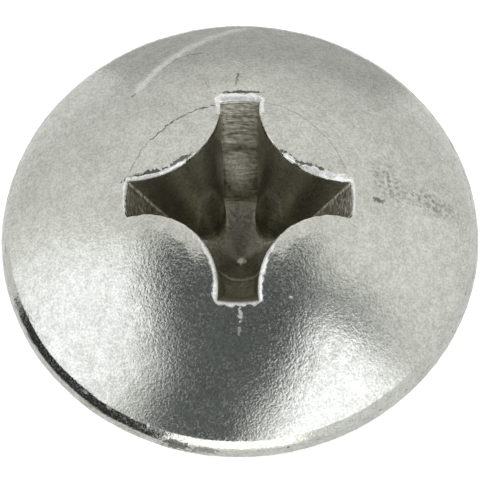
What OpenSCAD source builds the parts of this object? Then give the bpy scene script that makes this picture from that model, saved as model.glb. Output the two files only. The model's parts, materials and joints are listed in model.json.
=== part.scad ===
// Truss head machine screw with a cross recess, made in one piece of stainless
// steel. The screw's axis is Z and the head is uppermost. Z = 0 is the bearing
// face under the head, so the shank reaches down from there.

/* [Head] */
// Widest diameter of the head, round the middle of its rim
head_d = 9.7; // [9.2:0.05:10.4]
// Height of the head, from the bearing face to the crown of the dome
head_h = 2.3; // [2.1:0.05:2.6]
// Height of the rim, from the bearing face to the edge of the dome
rim_h = 0.53; // [0.45:0.01:0.7]
// How far the dome's edge lies inside the widest diameter
rim_taper = 0.165; // [0.14:0.005:0.2]
// Height of the sloping shoulder just under the dome's edge
shoulder_h = 0.17; // [0.1:0.01:0.2]
// Width of that shoulder, seen from above
shoulder_w = 0.115; // [0.08:0.005:0.13]
// Radius that rounds the rim's lower edge
rim_round = 0.15; // [0.05:0.01:0.2]
// Radius of the fillet between the bearing face and the neck
neck_fillet = 0.22; // [0.2:0.01:0.25]

/* [Cross recess] */
// Diameter across two opposite wings at the mouth of the recess
recess_d = 4.66; // [4.4:0.02:4.8]
// Diameter across two opposite wings at the floor of the recess
floor_d = 2.26; // [2.1:0.02:2.4]
// Angle between the end wall of a wing and the axis
wall_angle = 26.5; // [25:0.5:28]
// Depth of the cone below the floor
tip_h = 0.61; // [0.5:0.01:0.7]
// Distance from the axis to each web, at the floor
web_gap = 0.72; // [0.68:0.01:0.76]
// How far below the floor each web's own cone comes to its point
web_drop = 1.5; // [1.4:0.01:1.7]
// Angle between a web cone's side and its own axis
web_taper = 20.9; // [20:0.1:22]
// Angle that each web cone leans outward from the screw's axis
web_lean = 32.05; // [31:0.05:33]
// Width of the bevel round the mouth of the recess
mouth_bevel = 0.08; // [0.04:0.01:0.12]
// Angle of one wing from the X axis
wing_angle = -1.8; // [-45:0.1:45]

/* [Shank] */
// Length of the shank, from the bearing face to the flat end
shank_l = 6.35; // [5:0.05:8]
// Diameter over the crests of the thread
thread_d = 4.166; // [4:0.002:4.2]
// Pitch of the thread
pitch = 0.79375; // [0.7:0.00625:0.85]
// Depth of the thread, from crest to root
thread_depth = 0.487; // [0.4:0.001:0.5]
// Diameter of the plain neck under the head
neck_d = 3.8; // [3.74:0.02:3.9]
// Length of the plain neck
neck_l = 0.8; // [0.6:0.05:1.2]
// Length over which the thread's crests run out below the neck
runout_l = 0.3; // [0.2:0.05:0.5]
// Length over which the thread's roots run out below the neck
fade_l = 0.6; // [0.4:0.05:0.8]
// Diameter of the flat end
end_d = 3.05; // [2.8:0.05:3.15]
// Length of the chamfer at the end
chamfer_l = 0.55; // [0.3:0.05:0.7]

/* [Hidden] */
$fn = 96;

// Points in each turn of the thread, and the profile's flank angle
turn_steps = 36;
flank_angle = 30;
// How far a cutting shape runs past what it cuts
past = 1;
// Small overlap that keeps two joined shapes from only touching
trim_l = 0.02;

head_r = head_d / 2;
dome_edge_r = head_r - rim_taper;
dome_rise = head_h - rim_h;
dome_r = (pow(dome_edge_r, 2) + pow(dome_rise, 2)) / (2 * dome_rise);
dome_z = head_h - dome_r;

recess_r = recess_d / 2;
floor_r = floor_d / 2;
mouth_z = dome_z + sqrt(pow(dome_r, 2) - pow(recess_r, 2));
wall_top_r = recess_r - mouth_bevel;
wall_top_z = mouth_z - mouth_bevel;
floor_z = wall_top_z - (wall_top_r - floor_r) / tan(wall_angle);
tip_z = floor_z - tip_h;

// The point of a web's cone, as a distance from the axis and a height
web_point_r = web_gap - web_drop * tan(web_lean - web_taper);
web_point_z = floor_z - web_drop;
web_l = (head_h + past - web_point_z) / cos(web_lean + web_taper);

thread_r = thread_d / 2;
root_r = thread_r - thread_depth;
neck_r = neck_d / 2;
end_r = end_d / 2;
flank_l = thread_depth * tan(flank_angle);
crest_l = pitch / 8;
thread_top = -neck_l;
thread_turns = ceil((shank_l - neck_l) / pitch) + 2;

// Angle from Z, at the dome's centre, at which a line that leans outward by
// lean from a web's point meets the dome
function dome_angle(lean) =
    let (r = web_point_r, z = web_point_z - dome_z,
         b = r * sin(lean) + z * cos(lean),
         t = -b + sqrt(b * b - r * r - z * z + dome_r * dome_r))
    atan2(r + t * sin(lean), z + t * cos(lean));

// The circle in which a web meets the dome, seen from the dome's centre
web_near = dome_angle(web_lean - web_taper);
web_far = dome_angle(web_lean + web_taper);
web_mid = (web_near + web_far) / 2;
web_half = (web_far - web_near) / 2;

// Section of the head from the axis outward, without the recess
module head_section() {
    round_r = head_r - rim_round;
    intersection() {
        translate([0, dome_z]) circle(dome_r);
        union() {
            polygon([
                [0, 0], [round_r, 0], [round_r, rim_round], [head_r, rim_round],
                [dome_edge_r + shoulder_w, rim_h - shoulder_h], [dome_edge_r, rim_h],
                [dome_edge_r, head_h], [0, head_h]
            ]);
            translate([round_r, rim_round]) circle(rim_round);
        }
    }
}

// Section of the neck from the axis outward, with its fillet under the head and
// the cone into which the thread's roots run out
module neck_section() {
    fillet_r = neck_r + neck_fillet;
    fade_top = thread_top - trim_l;
    difference() {
        polygon([
            [0, rim_round], [fillet_r, rim_round], [fillet_r, -neck_fillet],
            [neck_r, -neck_fillet], [neck_r, fade_top],
            [root_r - trim_l, fade_top - fade_l], [0, fade_top - fade_l]
        ]);
        translate([fillet_r, -neck_fillet]) circle(neck_fillet);
    }
}

// One of the four webs that stand between the wings, with its bevelled mouth
module web() {
    bevel_r = dome_r * sin(web_half);
    bevel_z = dome_r * cos(web_half);
    intersection() {
        translate([web_point_r, 0, web_point_z])
            rotate([0, web_lean, 0])
                cylinder(h = web_l, r1 = 0, r2 = web_l * tan(web_taper));
        translate([0, 0, dome_z])
            rotate([0, web_mid, 0])
                translate([0, 0, bevel_z - mouth_bevel - 2 * bevel_r])
                    cylinder(h = 3 * bevel_r, r1 = 3 * bevel_r, r2 = 0);
    }
}

// The space of the cross recess
module recess() {
    mouth_past = head_h + past - mouth_z;
    rotate([0, 0, wing_angle]) difference() {
        rotate_extrude() polygon([
            [0, tip_z], [floor_r, floor_z], [wall_top_r, wall_top_z],
            [recess_r + mouth_past, mouth_z + mouth_past], [0, mouth_z + mouth_past]
        ]);
        for (k = [0:3]) rotate([0, 0, 45 + 90 * k]) web();
    }
}

// A right-hand helical thread with a solid core, longer than the shank at both
// ends. Each turn's profile is a crest and a root, and its two end faces are
// fans round a point on the axis.
module thread_helix() {
    // Radius and height of the profile's corners, crest first
    profile = [
        [thread_r, 0],
        [thread_r, -crest_l],
        [root_r, -crest_l - flank_l],
        [root_r, -pitch + flank_l]
    ];
    top_z = thread_top + pitch;
    steps = thread_turns * turn_steps;
    corners = len(profile);
    top_point = (steps + 1) * corners;
    end_point = top_point + 1;
    end_z = top_z - pitch * thread_turns;

    function corner(i, k) = i * corners + k;
    function lower(i, k) =
        k < corners - 1 ? corner(i, k + 1) : corner(i + turn_steps, 0);

    points = concat(
        [for (i = [0:steps], p = profile)
            let (a = -360 * i / turn_steps)
            [p[0] * cos(a), p[0] * sin(a), top_z + p[1] - pitch * i / turn_steps]],
        [[0, 0, top_z - pitch / 2], [0, 0, end_z + flank_l - pitch / 2]]
    );
    wall = [
        for (i = [0:steps - 1], k = [0:corners - 1])
            if (k < corners - 1 || i < steps - turn_steps)
                each [
                    [corner(i, k), lower(i, k), corner(i + 1, k)],
                    [corner(i + 1, k), lower(i, k), lower(i + 1, k)]
                ]
    ];
    top_face = [
        for (i = [0:turn_steps - 1]) [top_point, corner(i, 0), corner(i + 1, 0)]
    ];
    top_step = [
        for (k = [0:corners - 1]) [top_point, lower(0, k), corner(0, k)]
    ];
    end_face = [
        for (i = [steps - turn_steps:steps - 1])
            [end_point, corner(i + 1, corners - 1), corner(i, corners - 1)]
    ];
    end_step = concat(
        [[end_point, corner(steps - turn_steps, corners - 1), corner(steps, 0)]],
        [for (k = [0:corners - 2]) [end_point, corner(steps, k), corner(steps, k + 1)]]
    );
    polyhedron(
        points = points,
        faces = concat(wall, top_face, top_step, end_face, end_step),
        convexity = 10
    );
}

// Outer form of the threaded length, which trims the crests at the run-out and
// at the chamfered end
module thread_blank() {
    blank_r = thread_r + trim_l;
    runout_slope = (blank_r - neck_r) / runout_l;
    rotate_extrude() polygon([
        [0, thread_top + trim_l],
        [neck_r - trim_l * runout_slope, thread_top + trim_l],
        [blank_r, thread_top - runout_l],
        [blank_r, chamfer_l - shank_l],
        [end_r, -shank_l],
        [0, -shank_l]
    ]);
}

module screw() {
    color([0.72, 0.72, 0.7]) difference() {
        union() {
            rotate_extrude() head_section();
            rotate_extrude() neck_section();
            intersection() {
                thread_helix();
                thread_blank();
            }
        }
        recess();
    }
}

screw();
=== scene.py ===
"""A truss head machine screw of cold-formed stainless steel, in one piece.

The skin of the screw is one closed surface, worked out as rings of points that
run from the bottom of the cross recess, up its walls and over the dome, round
the rim, under the head and down the thread to the flat end. The classes hold
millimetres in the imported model's own frame, and the mesh is in metres.
"""

import json
import logging
import math
from collections.abc import Callable
from dataclasses import dataclass, field
from enum import Enum
from functools import cached_property

import bmesh
import bpy
import numpy as np
from mathutils import Matrix, Vector


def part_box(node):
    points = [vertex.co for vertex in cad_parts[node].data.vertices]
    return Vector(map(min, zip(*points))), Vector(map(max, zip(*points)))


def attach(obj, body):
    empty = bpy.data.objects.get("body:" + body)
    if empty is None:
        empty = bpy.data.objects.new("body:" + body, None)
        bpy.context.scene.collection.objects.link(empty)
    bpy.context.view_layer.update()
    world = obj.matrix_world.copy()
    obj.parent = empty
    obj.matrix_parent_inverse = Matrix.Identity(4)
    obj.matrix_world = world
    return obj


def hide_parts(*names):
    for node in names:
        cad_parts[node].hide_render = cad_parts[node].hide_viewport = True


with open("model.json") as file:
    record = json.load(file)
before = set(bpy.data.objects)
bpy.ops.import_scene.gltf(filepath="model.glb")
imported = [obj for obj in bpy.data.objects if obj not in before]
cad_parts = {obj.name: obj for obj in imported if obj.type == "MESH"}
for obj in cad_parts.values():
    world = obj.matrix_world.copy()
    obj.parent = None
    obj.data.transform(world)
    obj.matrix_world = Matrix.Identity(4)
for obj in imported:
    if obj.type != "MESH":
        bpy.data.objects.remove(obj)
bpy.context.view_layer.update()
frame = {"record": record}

MM = 0.001
LOG = logging.getLogger("truss_head_screw")


class Surface(Enum):
    """The finishes that the screw's skin is divided into, in slot order."""

    DOME = 0
    EDGE = 1
    RECESS = 2
    RIM = 3
    SHANK = 4


def turned(points: np.ndarray, degrees: float) -> np.ndarray:
    """Turns points round the Z axis.

    Args:
        points: Array whose last axis is x, y, z.
        degrees: The turn, anticlockwise seen from above.

    Returns:
        The turned points, in an array of the same shape.
    """
    c, s = math.cos(math.radians(degrees)), math.sin(math.radians(degrees))
    x, y, z = points[..., 0], points[..., 1], points[..., 2]
    return np.stack([c * x - s * y, s * x + c * y, z], axis=-1)


def smooth_step(t: np.ndarray) -> np.ndarray:
    """Eases from 0 to 1 with level ends: three times t squared less twice t cubed."""
    t = np.clip(t, 0.0, 1.0)
    return t * t * (3.0 - 2.0 * t)


def ripple(u: np.ndarray, v: np.ndarray, length: float, seed: int) -> np.ndarray:
    """A smooth uneven pattern, the mean of plane waves of like length.

    Each wave is the sine of its direction times the place, over a length
    between 0.7 and 1.4 times the one asked for, plus its own phase.

    Args:
        u: First coordinate of the places.
        v: Second coordinate of the places.
        length: The waves' usual length, in the coordinates' unit.
        seed: Fixes the directions and phases.

    Returns:
        Values that mostly lie between -1 and 1.
    """
    waves = 9
    rng = np.random.default_rng(seed)
    angle = rng.uniform(0, 2 * math.pi, waves)
    phase = rng.uniform(0, 2 * math.pi, waves)
    number = 2 * math.pi / (length * rng.uniform(0.7, 1.4, waves))
    along = u[..., None] * np.cos(angle) + v[..., None] * np.sin(angle)
    return np.sin(along * number + phase).sum(axis=-1) * math.sqrt(2 / waves) * 0.7


def bend(start: tuple, corner: tuple, end: tuple, reach: float, steps: int) -> np.ndarray:
    """Rounds a corner of a section with a quadratic Bezier curve.

    Args:
        start: A point on the line into the corner, as radius and height.
        corner: The corner itself.
        end: A point on the line out of the corner.
        reach: How far from the corner the curve starts and ends.
        steps: How many points it takes.

    Returns:
        Array of steps points, radius and height.
    """
    a, b, c = (np.asarray(p, dtype=float) for p in (start, corner, end))
    first = b + (a - b) * reach / np.linalg.norm(a - b)
    last = b + (c - b) * reach / np.linalg.norm(c - b)
    t = np.linspace(0, 1, steps)[:, None]
    return (1 - t) ** 2 * first + 2 * t * (1 - t) * b + t**2 * last


def arc(centre: tuple, radius: float, start: float, end: float, steps: int) -> np.ndarray:
    """Points of a circular arc in a section, between two angles in degrees."""
    a = np.radians(np.linspace(start, end, steps))
    return np.stack([centre[0] + radius * np.cos(a), centre[1] + radius * np.sin(a)], axis=-1)


def straight(start: tuple, end: tuple, steps: int) -> np.ndarray:
    """Evenly spaced points of a straight line in a section, without its two ends."""
    t = np.linspace(0, 1, steps + 2)[1:-1, None]
    return np.asarray(start, dtype=float) * (1 - t) + np.asarray(end, dtype=float) * t


@dataclass(frozen=True)
class Dome:
    """The spherical top of the head.

    Attributes:
        edge_r: Radius at which the dome meets the rim.
        edge_z: Height of that edge above the bearing face.
        crown_z: Height that the crown would have without the recess.
    """

    edge_r: float
    edge_z: float = 0.53
    crown_z: float = 2.3

    @cached_property
    def radius(self) -> float:
        """Radius of the sphere through the crown and the edge."""
        rise = self.crown_z - self.edge_z
        return (self.edge_r**2 + rise**2) / (2 * rise)

    @cached_property
    def centre_z(self) -> float:
        """Height of the sphere's centre."""
        return self.crown_z - self.radius

    def height(self, reach: np.ndarray, sunk: float = 0.0) -> np.ndarray:
        """Height of the dome, or of a sphere sunk inside it, at distances from the axis."""
        return self.centre_z + np.sqrt((self.radius - sunk) ** 2 - reach**2)


@dataclass(frozen=True)
class WearAndHighlight:
    """A stretch of the recess's mouth whose edge is blunted and scraped bare, its paleness partly a
    painted highlight.

    Attributes:
        angle: Angle of its middle from the X axis, in degrees.
        half_angle: Half the angle that it spans.
        width: How much wider the edge is there, in millimetres.
        bare: How pale the edge is painted there, from 0 to 1: scraped metal, partly a painted
            highlight.
        fade: Share of the half angle over which the wear fades out.
    """

    angle: float
    half_angle: float
    width: float
    bare: float = 1.0
    fade: float = 0.35

    def share(self, points: np.ndarray) -> np.ndarray:
        """How worn the edge is at each point.

        Args:
            points: Array whose last axis starts with x and y.

        Returns:
            1 in the middle of the stretch, eased to 0 at its ends.
        """
        angle = np.degrees(np.arctan2(points[..., 1], points[..., 0])) - self.angle
        off = np.abs((angle + 180) % 360 - 180)
        return smooth_step((self.half_angle - off) / (self.fade * self.half_angle))


# Worn stretches of the mouth, whose pale edges are partly a painted highlight.
MOUTH_WEAR_AND_HIGHLIGHT = (
    WearAndHighlight(angle=-91, half_angle=38, width=0.065),
    WearAndHighlight(angle=88, half_angle=14, width=0.09),
    WearAndHighlight(angle=15, half_angle=9, width=0.085),
    WearAndHighlight(angle=36, half_angle=7, width=0.025),
    WearAndHighlight(angle=160, half_angle=18, width=0.012),
    WearAndHighlight(angle=-2, half_angle=11, width=0.015),
    WearAndHighlight(angle=178, half_angle=11, width=0.02, bare=0.6),
    WearAndHighlight(angle=-140, half_angle=26, width=0.012, bare=0.6),
    WearAndHighlight(angle=-40, half_angle=26, width=0.01, bare=0.55),
)
# Paleness of each wing's end wall, partly painted light, and of the painted highlight on the corners
# beside it, from the first wing on
WING_BARE_AND_HIGHLIGHT = ((0.46, 0.7), (0.52, 0.4), (0.37, 0.62), (0.45, 0.5))


@dataclass(frozen=True)
class Ledge:
    """A step that the punch left in the end wall of one wing of the recess.

    Attributes:
        wing: Number of the wing, anticlockwise from the first one.
        heights: Heights at which the wall's shift is given, lowest first.
        shifts: How far the wall lies inside its cone at each of them.
    """

    wing: int
    heights: tuple[float, ...]
    shifts: tuple[float, ...]

    def shift(self, heights: np.ndarray, share: np.ndarray) -> np.ndarray:
        """The shift between the given heights, faded to the wall's corners as a sine of the share."""
        return np.interp(heights, self.heights, self.shifts) * np.sin(math.pi * share)


LEDGE = Ledge(
    wing=1,
    heights=(-0.42, -0.33, -0.24, -0.15, -0.05, 0.08, 0.62, 0.68, 0.84, 1.05),
    shifts=(0.0, 0.045, 0.085, 0.11, 0.122, 0.115, -0.03, -0.025, 0.03, 0.0),
)


@dataclass(frozen=True)
class Recess:
    """The cross recess: four wings with sloping ends between four conical webs.

    A wing's end lies on a cone round the screw's axis. A web is a cone of its
    own that leans outward, and its point lies below the recess. The columns of
    the grid divide each wing's end and each web, at every height, into equal
    shares, so the corners between them fall on columns.

    Attributes:
        dome: The dome that the recess opens through.
        mouth_r: Radius to a wing's end at the mouth.
        floor_r: Radius to a wing's end at the floor.
        wall_angle: Angle of a wing's end from the axis, in degrees.
        tip_h: Depth of the cone below the floor.
        web_gap: Distance from the axis to a web at the floor.
        web_drop: How far below the floor a web's cone comes to its point.
        web_taper: Angle between a web's side and the web's own axis.
        web_lean: Angle that a web's axis leans outward.
        bevel: Depth of the blunted edge at the mouth.
        blunt: Width of that edge where it isn't worn.
        ragged: Share by which that width changes along the mouth.
        foot: How far the fillet at the foot of the walls reaches.
        sink: How far the dome sinks in beside the mouth.
        sink_w: Width over which it sinks in.
        sink_power: Power of the nearness to the mouth by which it sinks in.
        fringe: Width of the pale fringe on the dome outside the worn edge, scraped metal and partly a
            painted highlight.
        fringe_bare: How pale that fringe is painted at the edge.
        cone_bare: How bare the metal is on the cone below the floor.
        wing_angle: Angle of the first wing from the X axis.
        end_columns: Columns on each wing's end.
        web_columns: Columns on each web.
    """

    dome: Dome
    mouth_r: float = 2.33
    floor_r: float = 1.13
    wall_angle: float = 26.5
    tip_h: float = 0.61
    web_gap: float = 0.72
    web_drop: float = 1.5
    web_taper: float = 20.9
    web_lean: float = 32.05
    bevel: float = 0.08
    blunt: float = 0.035
    ragged: float = 0.22
    foot: float = 0.18
    sink: float = 0.03
    sink_w: float = 0.3
    sink_power: float = 1.2
    fringe: float = 0.055
    fringe_bare: float = 0.9
    cone_bare: float = 0.15
    wing_angle: float = -1.8
    end_columns: int = 24
    web_columns: int = 64

    @property
    def quarter(self) -> int:
        """Columns in one wing's end and one web together."""
        return self.end_columns + self.web_columns

    @cached_property
    def floor_z(self) -> float:
        """Height of the floor, from the wall's slope below the mouth.

        Returns:
            The height, in millimetres.
        """
        wall_r = self.mouth_r - self.bevel
        wall_z = float(self.dome.height(self.mouth_r)) - self.bevel
        return wall_z - (wall_r - self.floor_r) / math.tan(math.radians(self.wall_angle))

    @cached_property
    def tip_z(self) -> float:
        """Height of the lowest point of the recess."""
        return self.floor_z - self.tip_h

    def end_radius(self, heights: np.ndarray) -> np.ndarray:
        """Distance from the axis to a wing's end, which grows up the wall by its slope."""
        return self.floor_r + (heights - self.floor_z) * math.tan(math.radians(self.wall_angle))

    def web_point(self, swing: np.ndarray, heights: np.ndarray) -> tuple[np.ndarray, np.ndarray]:
        """Points of a web's cone at given heights.

        A point lies on the straight line that starts at the cone's point and
        swings round the cone's axis, and is where that line has the height.

        Args:
            swing: Angle round the cone's axis from the line nearest the screw's
                axis, in radians.
            heights: The points' heights.

        Returns:
            Distances along the diagonal between two wings, and across it.
        """
        taper, lean = math.radians(self.web_taper), math.radians(self.web_lean)
        start_u = self.web_gap - self.web_drop * math.tan(lean - taper)
        start_z = self.floor_z - self.web_drop
        out_u = math.cos(taper) * math.sin(lean) - math.sin(taper) * math.cos(lean) * np.cos(swing)
        out_v = math.sin(taper) * np.sin(swing)
        out_z = math.cos(taper) * math.cos(lean) + math.sin(taper) * math.sin(lean) * np.cos(swing)
        far = (heights - start_z) / out_z
        return start_u + far * out_u, far * out_v

    @cached_property
    def corners(self) -> tuple[np.ndarray, np.ndarray, np.ndarray]:
        """Where a web meets a wing's end, found by halving the range of swing.

        Returns:
            Heights, the web's swing at the corner and the corner's angle from
            the middle of the wing, both in radians.
        """
        heights = np.linspace(self.tip_z, self.dome.crown_z, 160)
        low, high = np.zeros_like(heights), np.full_like(heights, math.radians(120))
        for _ in range(40):
            middle = (low + high) / 2
            u, v = self.web_point(middle, heights)
            inside = np.hypot(u, v) < self.end_radius(heights)
            low, high = np.where(inside, middle, low), np.where(inside, high, middle)
        u, v = self.web_point(low, heights)
        return heights, low, math.pi / 4 - np.arctan2(v, u)

    def quarter_wall(self, heights: np.ndarray) -> np.ndarray:
        """Points of one wing's end and of the web after it.

        Args:
            heights: Array of any rows by the quarter's columns.

        Returns:
            The points at those heights, with x, y, z as a last axis.
        """
        table_z, table_swing, table_angle = self.corners
        end_z, web_z = heights[..., : self.end_columns], heights[..., self.end_columns :]
        end_share = np.arange(self.end_columns) / self.end_columns
        web_share = np.arange(self.web_columns) / self.web_columns
        angle = np.interp(end_z, table_z, table_angle) * (2 * end_share - 1)
        end_r = self.end_radius(end_z)
        end = np.stack([end_r * np.cos(angle), end_r * np.sin(angle), end_z], axis=-1)
        swing = np.interp(web_z, table_z, table_swing) * (2 * web_share - 1)
        u, v = self.web_point(swing, web_z)
        web = turned(np.stack([u, v, web_z], axis=-1), 45)
        return np.concatenate([end, web], axis=-2)

    def settled(self, rule: Callable[[np.ndarray], np.ndarray]) -> np.ndarray:
        """Heights at which the walls meet a surface of revolution.

        Starts from the floor and takes the surface's height at the wall's
        distance from the axis again and again, until it no longer changes.

        Args:
            rule: Gives the surface's height at an array of distances.

        Returns:
            One height for each column of the quarter.
        """
        heights = np.full(self.quarter, self.floor_z)
        for _ in range(40):
            points = self.quarter_wall(heights)
            heights = rule(np.hypot(points[:, 0], points[:, 1]))
        return heights

    def sunk(self, points: np.ndarray) -> np.ndarray:
        """How far the dome sinks in at the mouth: all round, but not at the near wing's scrape."""
        return self.sink * (1 - MOUTH_WEAR_AND_HIGHLIGHT[0].share(points))

    def all_round(self, quarter_points: np.ndarray) -> np.ndarray:
        """Repeats a quarter's rows of points four times round the axis, from the first wing on."""
        parts = [turned(quarter_points, self.wing_angle + 90 * k) for k in range(4)]
        return np.concatenate(parts, axis=-2)

    def inside(self, cone_rows: int, foot_rows: int, wall_rows: int) -> np.ndarray:
        """The rings below the blunted edge, from just above the lowest point outward.

        The cone below the floor is straight from the lowest point to the
        fillet. The fillet is a quadratic Bezier curve round the foot of the
        wall. A wall goes up in equal steps of height, and the ledge shifts the
        end of its wing toward the axis.

        Args:
            cone_rows: Rings on the cone below the floor.
            foot_rows: Rings on the fillet.
            wall_rows: Rings on the walls.

        Returns:
            Array of rings by columns by x, y, z.
        """
        slope = self.tip_h / self.floor_r
        foot_z = self.settled(lambda reach: self.tip_z + reach * slope)
        top_z = self.settled(lambda reach: self.dome.height(reach, self.bevel + self.sink))
        foot = self.quarter_wall(foot_z)
        tip = np.array([0, 0, self.tip_z])
        length = np.linalg.norm(foot - tip, axis=-1, keepdims=True)
        inner = foot + (tip - foot) * self.foot / length
        share = np.arange(1, cone_rows + 1)[:, None, None] / cone_rows
        cone = tip + (inner - tip) * share
        low_z = foot_z + self.foot
        low = self.quarter_wall(low_z)
        t = np.arange(1, foot_rows + 1)[:, None, None] / foot_rows
        fillet = (1 - t) ** 2 * inner + 2 * t * (1 - t) * foot + t**2 * low
        share = np.arange(1, wall_rows + 1)[:, None] / wall_rows
        wall = self.quarter_wall(low_z + (top_z - low_z) * share)
        rings = self.all_round(np.concatenate([cone, fillet, wall]))
        ends = slice(LEDGE.wing * self.quarter, LEDGE.wing * self.quarter + self.end_columns)
        across = np.arange(self.end_columns) / self.end_columns
        reach = np.hypot(rings[:, ends, 0], rings[:, ends, 1])
        rings[:, ends, :2] *= (1 - LEDGE.shift(rings[:, ends, 2], across) / reach)[..., None]
        return rings

    def bare_and_highlight_inside(self, cone_rows: int, foot_rows: int, wall_rows: int) -> np.ndarray:
        """How pale the metal is painted below the blunted edge, with painted highlights on the
        corners.

        The ends of the wings are as pale as WING_BARE_AND_HIGHLIGHT says, bare metal and partly
        painted light, with a painted highlight along their corners, and the webs aren't bare. Down
        the fillet that changes evenly into the cone's own value.

        Args:
            cone_rows: Rings on the cone below the floor.
            foot_rows: Rings on the fillet.
            wall_rows: Rings on the walls.

        Returns:
            Array of rings by columns, from 0 to 1.
        """
        walls = np.zeros((4, self.quarter))
        for wing, (end, corner) in enumerate(WING_BARE_AND_HIGHLIGHT):
            walls[wing, : self.end_columns + 1] = end
            # Painted highlight along each corner of the wing's end.
            walls[wing, [0, 1, self.end_columns - 1, self.end_columns]] = corner
        climb = np.concatenate([
            np.zeros(cone_rows), np.arange(1, foot_rows + 1) / foot_rows, np.ones(wall_rows)
        ])[:, None]
        return self.cone_bare + (walls.ravel() - self.cone_bare) * climb

    def edge(self, top: np.ndarray, rows: int) -> tuple[np.ndarray, np.ndarray]:
        """The blunted edge at the mouth.

        It is a quadratic Bezier curve from the wall to the dome, whose middle
        point lies halfway from where the two would meet to the straight line.
        Its width is uneven, and greater where the mouth is worn.

        Args:
            top: The walls' last ring.
            rows: Rings on the edge.

        Returns:
            Array of rings by columns by x, y, z, and how pale the edge is painted at
            each of those points, from 0 to 1: scraped metal, partly a painted highlight.
        """
        meet_z = self.settled(lambda reach: self.dome.height(reach, self.sink))
        meet = self.all_round(self.quarter_wall(meet_z))
        run = np.roll(meet, -1, axis=0) - np.roll(meet, 1, axis=0)
        outward = np.stack([run[:, 1], -run[:, 0]], axis=-1)
        outward /= np.linalg.norm(outward, axis=-1, keepdims=True)
        x, y = meet[:, 0], meet[:, 1]
        uneven = np.clip(ripple(x, y, 0.24, 5) + 0.6 * ripple(x, y, 0.12, 6), -1, 1)
        worn = [wear.share(meet) for wear in MOUTH_WEAR_AND_HIGHLIGHT]
        width = sum(wear.width * part for wear, part in zip(MOUTH_WEAR_AND_HIGHLIGHT, worn))
        width = (self.blunt + width) * (1 + self.ragged * uneven)
        brink = top.copy()
        brink[:, :2] += outward * width[:, None]
        brink[:, 2] = self.dome.height(np.hypot(brink[:, 0], brink[:, 1])) - self.sunk(brink)
        middle = 0.5 * meet + 0.25 * (top + brink)
        t = np.arange(1, rows + 1)[:, None, None] / rows
        curve = (1 - t) ** 2 * top + 2 * t * (1 - t) * middle + t**2 * brink
        # Paleness of the worn stretches: scraped metal, partly a painted highlight of the edge.
        scraped = [wear.bare * part for wear, part in zip(MOUTH_WEAR_AND_HIGHLIGHT, worn)]
        return curve, np.tile(np.max(scraped, axis=0), (rows, 1))

    def rings(self, edge_rows: int, cone_rows: int = 7, foot_rows: int = 7,
              wall_rows: int = 40) -> tuple[np.ndarray, np.ndarray]:
        """The whole recess as rings of points, from just above its lowest point outward.

        Args:
            edge_rows: Rings on the blunted edge, which come last.
            cone_rows: Rings on the cone below the floor.
            foot_rows: Rings on the fillet.
            wall_rows: Rings on the walls.

        Returns:
            Array of rings by columns by x, y, z, and how pale the metal is painted at
            each of those points, from 0 to 1: bare metal, with painted highlights along
            the corners of the wings' ends and the mouth's edge.
        """
        inside = self.inside(cone_rows, foot_rows, wall_rows)
        bare = self.bare_and_highlight_inside(cone_rows, foot_rows, wall_rows)
        edge, bare_and_highlight_edge = self.edge(inside[-1], edge_rows)
        return np.concatenate([inside, edge]), np.concatenate([bare, bare_and_highlight_edge])


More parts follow.
